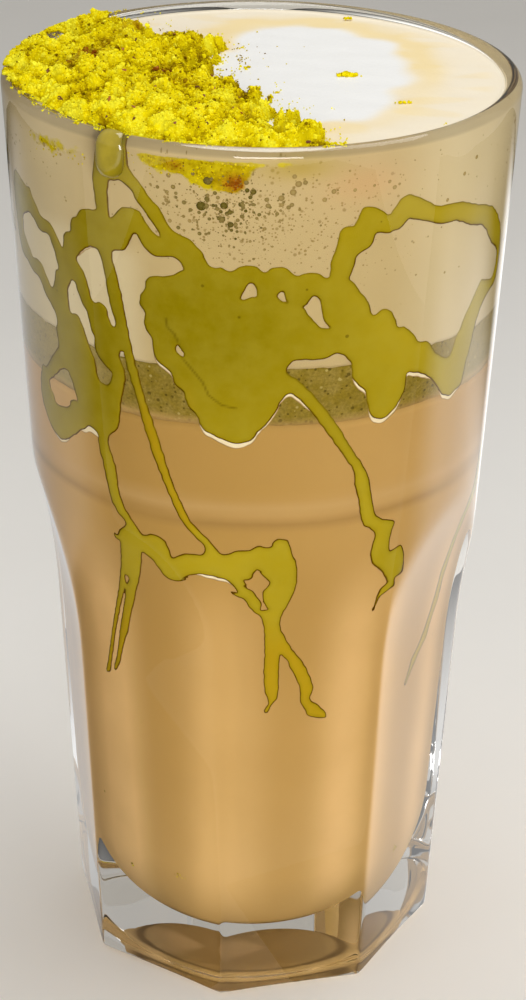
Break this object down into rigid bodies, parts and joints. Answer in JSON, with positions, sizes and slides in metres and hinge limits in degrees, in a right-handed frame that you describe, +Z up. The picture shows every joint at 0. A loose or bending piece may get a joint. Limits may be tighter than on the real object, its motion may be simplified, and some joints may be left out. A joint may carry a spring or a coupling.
{
  "type": "pistachio latte in glass tumbler",
  "caption": "Tall faceted glass of layered pistachio latte with milk foam, pistachio sauce running down the inside of the wall and crushed pistachio on top.",
  "frame": {"origin": "centre of the glass's foot, on the table", "axes": "+Z up along the glass's axis; -Y towards the front of the drink, from which the drop over the lip and the nuts are on the left; +X to the right"},
  "size_m": [0.084, 0.084, 0.1663],
  "materials": {
    "clear_glass": "clear, polished",
    "latte": null,
    "ground_nuts": null,
    "milk_foam": null,
    "pistachio_sauce": null,
    "crushed_pistachio": null,
    "drop_sauce": null
  },
  "bodies": {
    "root": {"glass_tumbler": "clear_glass", "coffee_milk": "latte", "ground_nut_band": "ground_nuts", "milk_foam": "milk_foam", "pistachio_sauce": "pistachio_sauce", "crushed_pistachio": "crushed_pistachio", "sauce_drop": "drop_sauce"}
  },
  "joints": []
}
